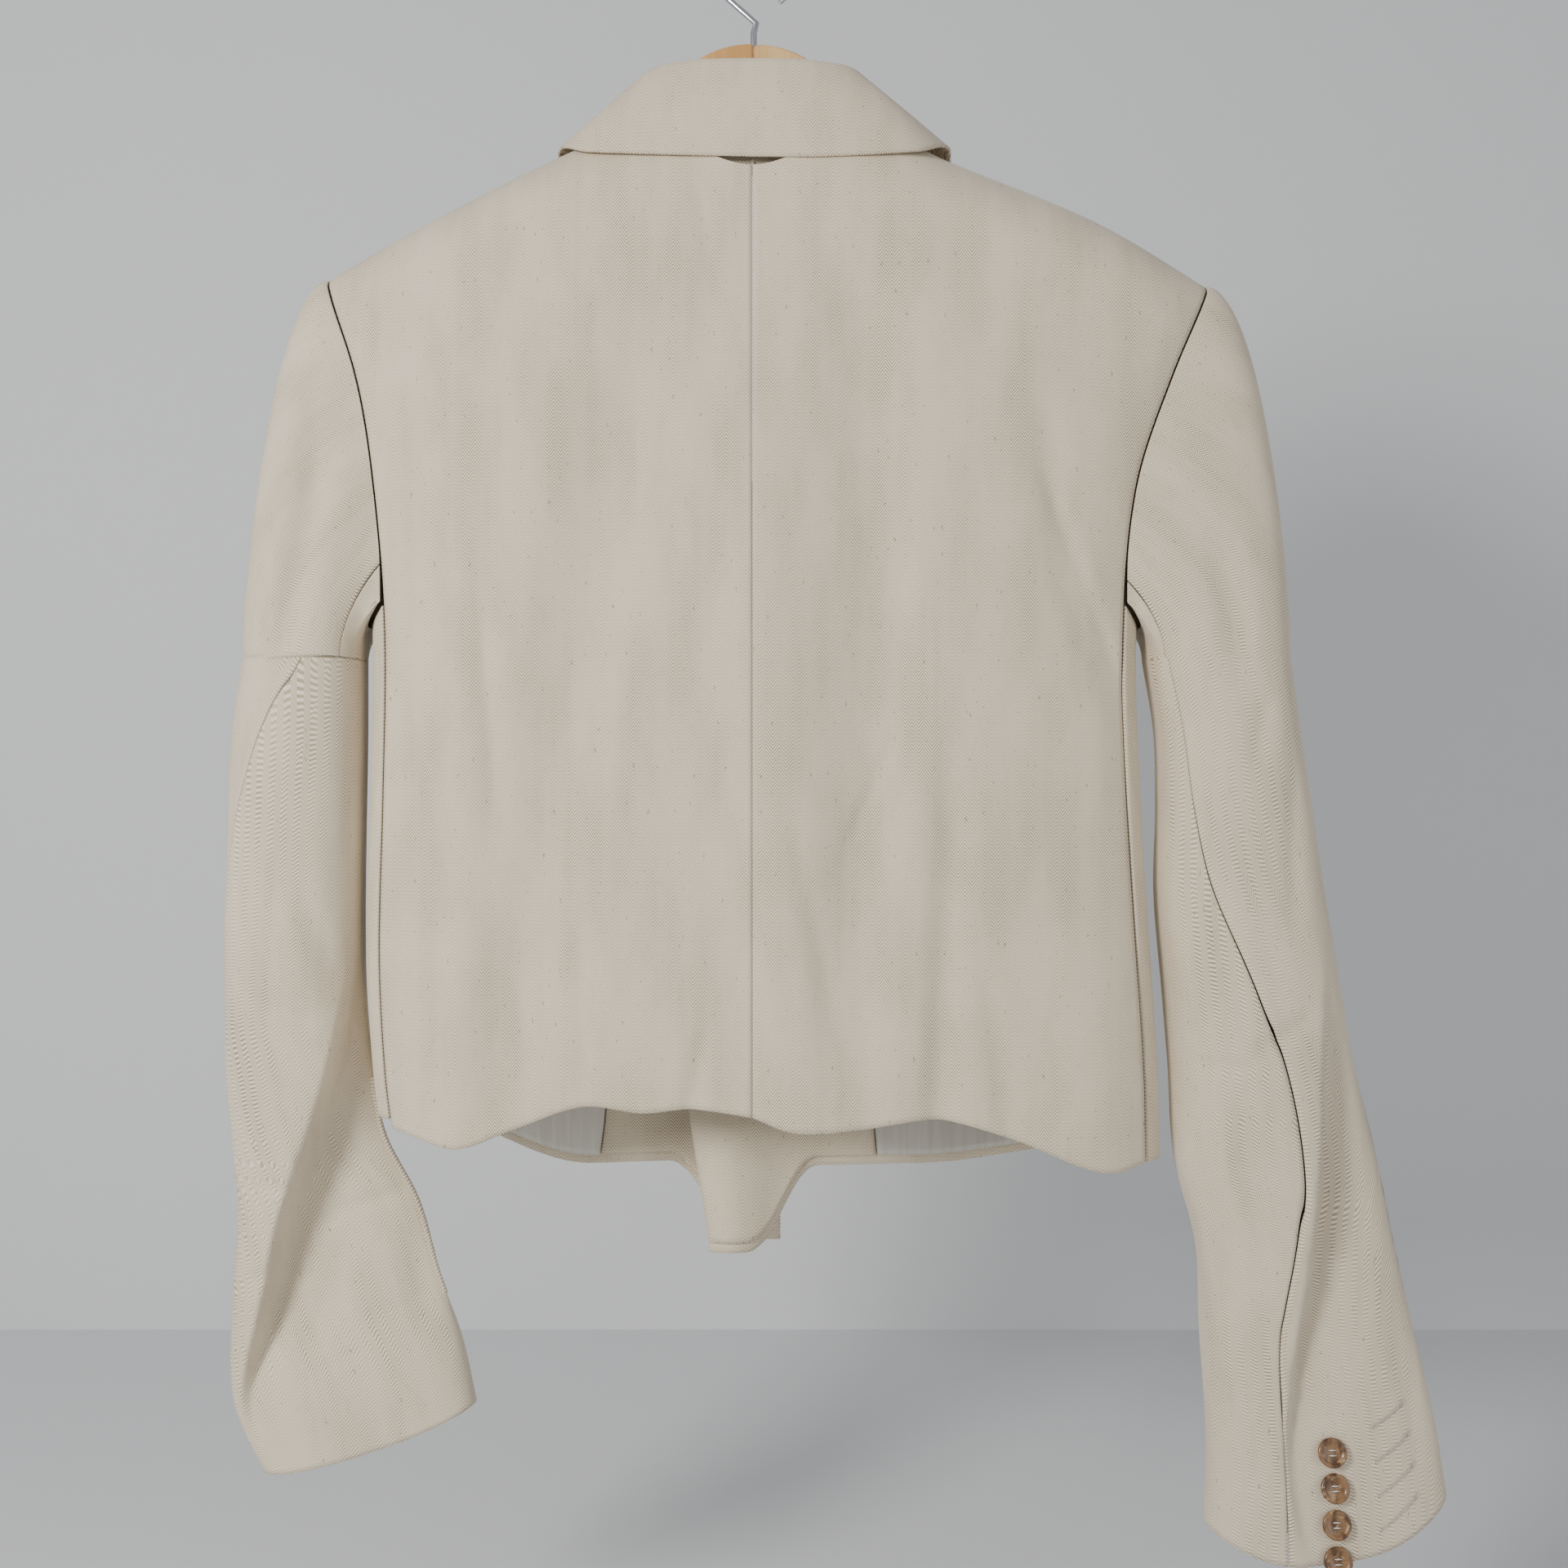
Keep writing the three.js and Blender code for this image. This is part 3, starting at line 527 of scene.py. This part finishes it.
# Collar: a stand sewn round the neck and a leaf that rolls over it and lies on the back and the fronts.
# Rows run from the centre back to the gorge: place round the neck, then the point there.
STAND_FOOT = [
    (0, (0, 33, -141)), (0.2, (34, 31, -138)), (0.4, (60, 17, -124)), (0.55, (70, -3, -113)),
    (0.62, (70, -14, -120)), (0.7, (67, -30, -132)), (0.85, (61, -45, -160)), (1, (52, -52, -190)),
]
ROLL_LINE = [
    (0, (0, 30, -86)), (0.2, (30, 28, -86)), (0.4, (50, 17, -87)), (0.55, (57, -4, -95)),
    (0.62, (57, -20, -106)), (0.7, (56, -44, -124)), (0.85, (56, -58, -156)), (1, (55, -61, -186)),
]
LEAF_EDGE = [
    (0, (0, 37.9, -138)), (0.2, (42, 37.5, -137)), (0.4, (83, 30, -132)), (0.55, (100, 6, -121)),
    (0.62, (104, -18, -121)), (0.7, (106, -46, -138)), (0.85, (104, -61, -168)), (1, (92, -64, -196)),
]
COLLAR_REACH = 0.97
ROLL_RADIUS = 2.6
ROLL_SHARE = 0.16


def round_neck(rows, turn):
    x, y, z = (along([(place, point[axis]) for place, point in rows], abs(turn)) for axis in range(3))
    return Vector((math.copysign(x, turn), y, z))


def leaf_at(u, v):
    turn = mix(-COLLAR_REACH, COLLAR_REACH, u)
    roll = round_neck(ROLL_LINE, turn)
    edge = round_neck(LEAF_EDGE, turn)
    level = Vector((edge.x - roll.x, edge.y - roll.y + 6, 0)).normalized()
    centre = roll - Vector((0, 0, ROLL_RADIUS - 1.6)) + level * 0.6
    if v < ROLL_SHARE:
        angle = mix(-0.35, 2.3, v / ROLL_SHARE)
        return centre - level * math.cos(angle) * ROLL_RADIUS + Vector((0, 0, math.sin(angle) * ROLL_RADIUS))
    start = centre - level * math.cos(2.3) * ROLL_RADIUS + Vector((0, 0, math.sin(2.3) * ROLL_RADIUS))
    t = (v - ROLL_SHARE) / (1 - ROLL_SHARE)
    point = start.lerp(edge, t)
    out = Vector((point.x * 0.4, point.y, 22)).normalized()
    return point + out * (math.sin(t * math.pi) * 3.2 + 1.6 + 0.5 * math.sin(turn * 9) * t)


def stand_at(u, v):
    turn = mix(-0.56, 0.56, u)
    foot = round_neck(STAND_FOOT, turn) + Vector((0, 0, 1.6))
    roll = round_neck(ROLL_LINE, turn) - Vector((0, 0, 5))
    inward = Vector((math.copysign(2.2, turn) if turn else 0, 2.2 if abs(turn) < 0.3 else 0, 0))
    return roll.lerp(foot, v) - inward


piece("collar_leaf", leaf_at, 160, 26, cloth, ["collar_fall"], False)
piece("collar_band", stand_at, 90, 10, cloth, ["collar_stand"], False)

# Sleeves: a wide upper piece and a narrow under piece, set into the armhole with a little fullness at the head.
# Each is a tube of level rings: height, outer edge, inner edge, back, front, long fold's place, its depth,
# how far the ring tips with its width, and how far its middle sags.
RINGS = {
    LEFT: [
        (-388, 267, 205, 30, -36, 206, 0, 0, 0),
        (-430, 273, 205, 30, -36, 206, 0, 0, 0),
        (-480, 275, 206, 28, -36, 207, 0, 0, 0),
        (-530, 278, 207, 25, -38, 207, 2, 0, 0),
        (-565, 279, 207, 20, -40, 212, 12, 0, 0),
        (-600, 280, 205, 16, -44, 219, 22, 0, 0),
        (-640, 278, 200, 12, -48, 231, 26, 0, 0),
        (-680, 276, 182, 9, -50, 246, 26, -0.05, 0),
        (-725, 280, 171, 5, -50, 258, 22, -0.15, 0),
        (-768, 280, 158, 0, -48, 271, 8, -0.26, 2),
        (-804, 264, 150, -5, -42, 262, 0, -0.32, 4),
    ],
    RIGHT: [
        (-388, 281, 206, 30, -36, 280, 0, 0, 0),
        (-425, 286, 212, 31, -36, 285, 0, 0, 0),
        (-465, 292, 213, 31, -36, 290, 0, 0, 0),
        (-510, 299, 212, 30, -36, 295, 0, 0, 0),
        (-560, 308, 216, 30, -36, 294, 3, 0, 0),
        (-600, 316, 219, 30, -34, 293, 13, 0, 0),
        (-650, 328, 222, 30, -32, 291, 17, 0, 0),
        (-695, 337, 233, 30, -30, 286, 17, 0, 2),
        (-740, 347, 235, 28, -28, 279, 12, 0, 5),
        (-790, 357, 238, 26, -24, 274, 6, 0.06, 12),
        (-832, 363, 237, 22, -20, 285, 2, 0.13, 22),
    ],
}
HIND_SEAM = {  # (height, share of the way round)
    LEFT: [(-330, 0.12), (-430, 0.3), (-510, 0.42), (-810, 0.46)],
    RIGHT: [(-350, 0.1), (-460, 0.14), (-560, 0.24), (-650, 0.26), (-740, 0.2), (-850, 0.2)],
}
FOREARM_SEAM = 0.9
HEAD_BULGE = {LEFT: 13, RIGHT: 14}
SLEEVE_HEAD = 0.34
SLEEVE_CREASES = {  # from, to, width, depth
    LEFT: [
        ((228, -235), (226, -300), 9, -3), ((226, -300), (240, -385), 9, -3), ((250, -340), (249, -372), 4, -1.5),
        ((243, -490), (248, -545), 5, -1.8), ((252, -565), (230, -576), 4, -2.2), ((236, -500), (214, -560), 7, -2),
        ((262, -440), (258, -520), 6, -1.4), ((181, -655), (190, -668), 3, -1.2), ((226, -683), (188, -674), 4, -1.6),
        ((207, -742), (182, -738), 4, -1.5), ((238, -762), (206, -756), 4, -1.6), ((274, -715), (256, -708), 4, -2),
        ((262, -663), (246, -664), 4, -1.6), ((220, -700), (236, -750), 7, -1.6), ((186, -705), (176, -745), 6, -1.4),
    ],
    RIGHT: [
        ((-262, -412), (-257, -438), 5, -1.8), ((-276, -452), (-276, -518), 5, -1.8), ((-258, -590), (-282, -574), 4, -2.4),
        ((-228, -597), (-256, -599), 4, -2.2), ((-240, -695), (-252, -745), 5, -1.8), ((-272, -728), (-276, -752), 4, -1.8),
        ((-240, -762), (-256, -800), 5, -1.6), ((-232, -500), (-246, -560), 6, -1.8), ((-300, -600), (-316, -690), 9, -2.4),
        ((-250, -620), (-262, -700), 8, -1.6), ((-240, -330), (-250, -400), 8, -1.6), ((-335, -740), (-345, -800), 7, -1.4),
    ],
}


def armhole(side, round_share):
    tip = SHOULDER_TIP[side]
    tip_z = ridge_at(side, tip) - 1
    back = round_share <= 0.5
    share = round_share * 2 if back else (1 - round_share) * 2
    under = 0.14
    if share < under:
        turn = 0.5 - 0.5 * share / under if back else 0.5 + 0.5 * share / under
        point = side_point(side, turn, UNDERARM_Z + 12 * (2 * turn - 1) ** 2)
        return point + Vector((side * 2.2, 0, 1))
    z = mix(UNDERARM_Z + 12, tip_z, (share - under) / (1 - under))
    x = side * min(tip, seam_x(side, z))
    point = back_point(side, x, z) if back else front_point(side, x, z)
    return point + Vector((side * (0.5 + 1.5 * smooth((0.3 - share) / 0.2)), 0, 0))


def sleeve_ring(side, round_share, z):
    rows = RINGS[side]
    outer, inner, back, front, fold, step, tip, sag = (
        along([(row[0], row[column]) for row in rows], z) for column in range(1, 9)
    )
    angle = round_share * 2 * math.pi

    def squash(value):
        return math.copysign(abs(value) ** 0.8, value)

    x = mix(inner, outer, 0.5 - 0.5 * squash(math.cos(angle)))
    y = (back + front) / 2 + (back - front) / 2 * squash(math.sin(angle))
    facing = math.sin(angle)
    if round_share < 0.5:
        beyond = fold - x if side == LEFT else x - fold
        y -= step * smooth((beyond + 3) / 7) * facing**0.5
        y += creases_at(SLEEVE_CREASES[side], side * x, z) * smooth(facing * 1.6)
    else:
        y -= creases_at(SLEEVE_CREASES[side], side * x, z + 25) * smooth(-facing * 1.6)
    return Vector((side * x, y, z + tip * (x - (inner + outer) / 2) - sag * facing**2))


def sleeve_point(side, round_share, down):
    rows = RINGS[side]
    top, bottom = rows[0][0], rows[-1][0]
    if down >= SLEEVE_HEAD:
        return sleeve_ring(side, round_share, mix(top, bottom, (down - SLEEVE_HEAD) / (1 - SLEEVE_HEAD)))
    start = armhole(side, round_share)
    end = sleeve_ring(side, round_share, top)
    high = max(0.0, -math.cos(round_share * 2 * math.pi))
    first = start + Vector((side * (2 + HEAD_BULGE[side] * 1.5 * high), 0, 3 * high - 2 * (1 - high)))
    second = end + Vector((side * -1 * high, 0, (start - end).length * 0.45))
    t = down / SLEEVE_HEAD
    s = 1 - t
    point = start * s**3 + first * (3 * s * s * t) + second * (3 * s * t * t) + end * t**3
    crease = creases_at(SLEEVE_CREASES[side], point.x, point.z) * smooth(t * 3) * smooth((1 - t) * 6 + 0.4)
    facing = math.sin(round_share * 2 * math.pi)
    point.y += crease * facing
    return point


def sleeve_at(side, upper, u, v):
    rows = RINGS[side]
    head_end = HIND_SEAM[side][0][0]
    z = head_end if v < SLEEVE_HEAD else mix(rows[0][0], rows[-1][0], (v - SLEEVE_HEAD) / (1 - SLEEVE_HEAD))
    hind = mix(HIND_SEAM[side][0][1], along(HIND_SEAM[side], z), smooth(v / SLEEVE_HEAD))
    gap = SEAM_GAP / 260
    first = hind + gap if upper else FOREARM_SEAM + gap
    last = FOREARM_SEAM - gap if upper else 1 + hind - gap
    return sleeve_point(side, mix(first, last, u) % 1, v)


for side, label in SIDE_NAMES.items():
    piece(
        f"topsleeve_{label}", lambda u, v: sleeve_at(side, True, u, v), 110, 220, cloth,
        [f"sleeve_upper_{label}"], side == RIGHT, grain=False,
    )
    piece(
        f"undersleeve_{label}", lambda u, v: sleeve_at(side, False, u, v), 70, 220, cloth,
        [f"sleeve_under_{label}"], side == RIGHT, grain=False,
    )

# Buttons: turned from streaky brown horn, with a rounded rim, a dished centre and four thread holes; each hole is a
# small disc painted near black, painted shade standing in for the hole's depth.
# Four overlap on each cuff, each leaning on the next; two pairs close the fronts.
def horn_material():
    material = bpy.data.materials.new("brown horn")
    material.use_nodes = True
    tree = material.node_tree
    shader = tree.nodes["Principled BSDF"]
    place = node(tree, "ShaderNodeTexCoord").outputs["Object"]
    streaks = noise(tree, place, 260, (1, 0.35, 0.5), 5)
    dark = blended(tree, ranged(tree, streaks, 0.35, 0.62), (0.075, 0.032, 0.012, 1), (0.24, 0.13, 0.055, 1))
    pale = ranged(tree, noise(tree, place, 420, (0.6, 1, 1), 4), 0.55, 0.75, 0.0, 0.8)
    tree.links.new(blended(tree, pale, dark, (0.5, 0.34, 0.17, 1)), shader.inputs["Base Color"])
    shader.inputs["Roughness"].default_value = 0.3
    shader.inputs["Coat Weight"].default_value = 0.25
    return material


horn = horn_material()
# Near-black colour for the thread-hole discs: painted shade inside the holes, not a colour of the horn.
painted_hole_shade = plain_material("painted hole shade", (0.02, 0.012, 0.008), 0.8)
thread = plain_material("sewing thread", (0.82, 0.78, 0.7), 0.85)
BUTTON_PROFILE = [  # (share of the radius, height)
    (0, -1.2), (0.7, -1.2), (0.92, -0.8), (1.0, -0.1), (0.985, 0.6), (0.93, 1.05), (0.85, 1.2),
    (0.76, 1.05), (0.68, 0.6), (0.6, 0.35), (0.3, 0.25), (0, 0.22),
]


def lathe(profile, radius, segments):
    points, faces = [], []
    for share, height in profile:
        for k in range(segments):
            angle = 2 * math.pi * k / segments
            points.append((share * radius * math.cos(angle), share * radius * math.sin(angle), height))
    for j in range(len(profile) - 1):
        for k in range(segments):
            k2 = (k + 1) % segments
            faces.append((j * segments + k, j * segments + k2, (j + 1) * segments + k2, (j + 1) * segments + k))
    return points, faces


def button(name, diameter, centre, facing, solid):
    radius = diameter / 2
    points, faces = lathe(BUTTON_PROFILE, radius, 48)
    slots = [0] * len(faces)
    hole = radius * 0.1
    for corner in range(4):
        angle = math.pi / 4 + corner * math.pi / 2
        px, py = radius * 0.24 * math.cos(angle), radius * 0.24 * math.sin(angle)
        # Each thread hole is a small disc given the near-black painted shade in place of an open hole.
        dot, dot_faces = lathe([(0, 0.1), (1, 0.1), (0.9, 0.32), (0, 0.3)], hole, 12)
        base = len(points)
        points += [(x + px, y + py, z) for x, y, z in dot]
        faces += [tuple(base + index for index in face) for face in dot_faces]
        slots += [1] * len(dot_faces)
    for bar in (-1, 1):
        strand, strand_faces = lathe([(0, -1), (1, -1), (1, 1), (0, 1)], 0.28, 8)
        base = len(points)
        points += [(z * radius * 0.24, bar * radius * 0.17 + x, 0.38 + y) for x, y, z in strand]
        faces += [tuple(base + index for index in face) for face in strand_faces]
        slots += [2] * len(strand_faces)
    turn = facing.normalized().to_track_quat("Z", "Y")
    mesh = bpy.data.meshes.new(name)
    mesh.from_pydata([(turn @ Vector(point) + centre) * MM for point in points], [], faces)
    for material in (horn, painted_hole_shade, thread):
        mesh.materials.append(material)
    for polygon, slot in zip(mesh.polygons, slots):
        polygon.material_index = slot
        polygon.use_smooth = True
    mesh.validate()
    made = bpy.data.objects.new(name, mesh)
    bpy.context.scene.collection.objects.link(made)
    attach(made, "root")
    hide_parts(solid)
    return made


CUFF_ROUND = {LEFT: 0.57, RIGHT: 0.25}
BUTTON_LIFT = {LEFT: 2.6, RIGHT: 3.2}
BUTTON_TILT = 0.25
CUFF_BUTTON_D = 15
FRONT_BUTTON_D = 22


def cuff_place(side, round_share, down):
    point = sleeve_point(side, round_share, down)
    a = sleeve_point(side, round_share + 0.02, down) - point
    b = sleeve_point(side, round_share, down - 0.02) - point
    normal = a.cross(b).normalized()
    if normal.y * (1 if side == RIGHT else -1) < 0:
        normal = -normal
    return point, normal


for side, label in SIDE_NAMES.items():
    for n in range(4):
        down = mix(0.93, 0.985, n / 3) + n * 0.004
        point, normal = cuff_place(side, CUFF_ROUND[side], down)
        button(
            f"cuff_horn_{label}_{n + 1}", CUFF_BUTTON_D, point + normal * BUTTON_LIFT[side],
            normal + Vector((0, 0, BUTTON_TILT)), f"cuff_button_{label}_{n + 1}",
        )

for level, z in (("upper", -462), ("lower", -555)):
    for label, x in (("left", 58), ("right", -40)):
        point = front_point(LEFT, x, z) - Vector((0, 2.2, 0))
        button(f"front_horn_{level}_{label}", FRONT_BUTTON_D, point, Vector((0, -1, 0)), f"front_button_{level}_{label}")

# Worked buttonholes: a short bar of white thread beside each cuff button, oversewn in close zigzags.
BUTTONHOLE = 9
THREAD_D = 0.55


def wire(name, points, diameter, material, solids=()):
    """A round wire or thread through the points, as a tube."""
    curve = bpy.data.curves.new(name, "CURVE")
    curve.dimensions = "3D"
    curve.bevel_depth = diameter / 2 * MM
    curve.bevel_resolution = 3
    spline = curve.splines.new("POLY")
    spline.points.add(len(points) - 1)
    for target, point in zip(spline.points, points):
        target.co = (*(point * MM), 1)
    curve.use_fill_caps = True
    curve.materials.append(material)
    made = bpy.data.objects.new(name, curve)
    bpy.context.scene.collection.objects.link(made)
    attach(made, "root")
    if solids:
        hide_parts(*solids)
    return made


for side, label in SIDE_NAMES.items():
    for n in range(4):
        down = mix(0.93, 0.985, n / 3) + n * 0.004 - 0.012
        path = []
        for k in range(37):
            share = k / 36
            shift = 0.045 + 0.07 * share
            round_share = CUFF_ROUND[side] + (shift if side == RIGHT else -shift)
            point, normal = cuff_place(side, round_share, down - 0.012 * share)
            path.append(point + normal * 0.5 + Vector((0, 0, (1 if k % 2 else -1) * (0.9 + 0.5 * (share > 0.85)))))
        wire(f"buttonhole_{label}_{n + 1}", path, THREAD_D, thread)

# Hanger: two shaped halves of pale varnished wood glued at the centre, edges rounded, under a steel hook.
def wood_material(name, pale, dark, slant):
    material = bpy.data.materials.new(name)
    material.use_nodes = True
    tree = material.node_tree
    shader = tree.nodes["Principled BSDF"]
    place = node(tree, "ShaderNodeTexCoord").outputs["Object"]
    turned = node(tree, "ShaderNodeMapping", {"Vector": place, "Rotation": (0, slant, 0), "Scale": (1, 1, 0.09)})
    grain = node(tree, "ShaderNodeTexNoise", {"Vector": turned.outputs[0], "Scale": 420, "Detail": 4}).outputs[0]
    rings = node(tree, "ShaderNodeTexNoise", {"Vector": turned.outputs[0], "Scale": 90, "Detail": 2}).outputs[0]
    tone = math_node(tree, "ADD", math_node(tree, "MULTIPLY", grain, 0.5), math_node(tree, "MULTIPLY", rings, 0.6))
    mixed = blended(tree, ranged(tree, tone, 0.38, 0.72), (*pale, 1), (*dark, 1))
    tree.links.new(mixed, shader.inputs["Base Color"])
    shader.inputs["Roughness"].default_value = 0.38
    shader.inputs["Coat Weight"].default_value = 0.3
    return material


WOODS = {
    LEFT: wood_material("amber wood", (0.72, 0.42, 0.15), (0.58, 0.3, 0.09), 1.4),
    RIGHT: wood_material("pale wood", (0.8, 0.53, 0.24), (0.66, 0.39, 0.15), 0.9),
}
HANGER_THICK = 13
ARM_DROP = 4


def bend(points, control, end, count=14):
    start = points[-1]
    for k in range(1, count + 1):
        t = k / count
        points.append(tuple(start[i] * (1 - t) ** 2 + control[i] * 2 * t * (1 - t) + end[i] * t * t for i in (0, 1)))


def hanger_outline(side):
    outline = [(0.15, -64)]
    bend(outline, (34, -64), (50, -98))
    bend(outline, (58, -118), (82, ridge_at(side, 82) - ARM_DROP - 3))
    for x in range(100, 206, 15):
        outline.append((x, ridge_at(side, x) - ARM_DROP))
    end = outline[-1][1]
    bend(outline, (213, end - 10), (203, end - 16))
    outline.append((75, -158))
    bend(outline, (30, -132), (0.15, -130))
    return outline


for side, label in SIDE_NAMES.items():
    outline = hanger_outline(side)
    count = len(outline)
    half = HANGER_THICK / 2
    points = [Vector((side * x, BODY_MID_Y + depth, z)) * MM for depth in (-half, half) for x, z in outline]
    faces = [tuple(range(count)), tuple(reversed(range(count, 2 * count)))]
    faces += [(k, k + count, (k + 1) % count + count, (k + 1) % count) for k in range(count)]
    mesh = bpy.data.meshes.new(f"hanger_arm_{label}")
    mesh.from_pydata(points, [], faces)
    if side == RIGHT:
        mesh.flip_normals()
    mesh.materials.append(WOODS[side])
    arm = bpy.data.objects.new(f"hanger_arm_{label}", mesh)
    bpy.context.scene.collection.objects.link(arm)
    edge = arm.modifiers.new("rounded edge", "BEVEL")
    edge.width = 2.4 * MM
    edge.segments = 4
    edge.angle_limit = math.radians(50)
    edge.limit_method = "ANGLE"
    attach(arm, "root")
    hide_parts(f"hanger_{label}")

steel = plain_material("polished steel", (0.62, 0.62, 0.64), 0.22)
steel.node_tree.nodes["Principled BSDF"].inputs["Metallic"].default_value = 1
HOOK_WIRE = 3.6
hook_radius = 21 + HOOK_WIRE / 2
hook_path = [Vector((0, BODY_MID_Y, z)) for z in (-63.6, -60, -56)] + [Vector((-1.2, BODY_MID_Y, -51))]
for k in range(64):
    angle = mix(1.17, -0.3, k / 63) * math.pi
    hook_path.append(
        Vector((hook_radius * math.cos(math.pi - angle), BODY_MID_Y, -21 + hook_radius * math.sin(angle)))
    )
wire("hook_wire", hook_path, HOOK_WIRE, steel, ["hanger_hook"])
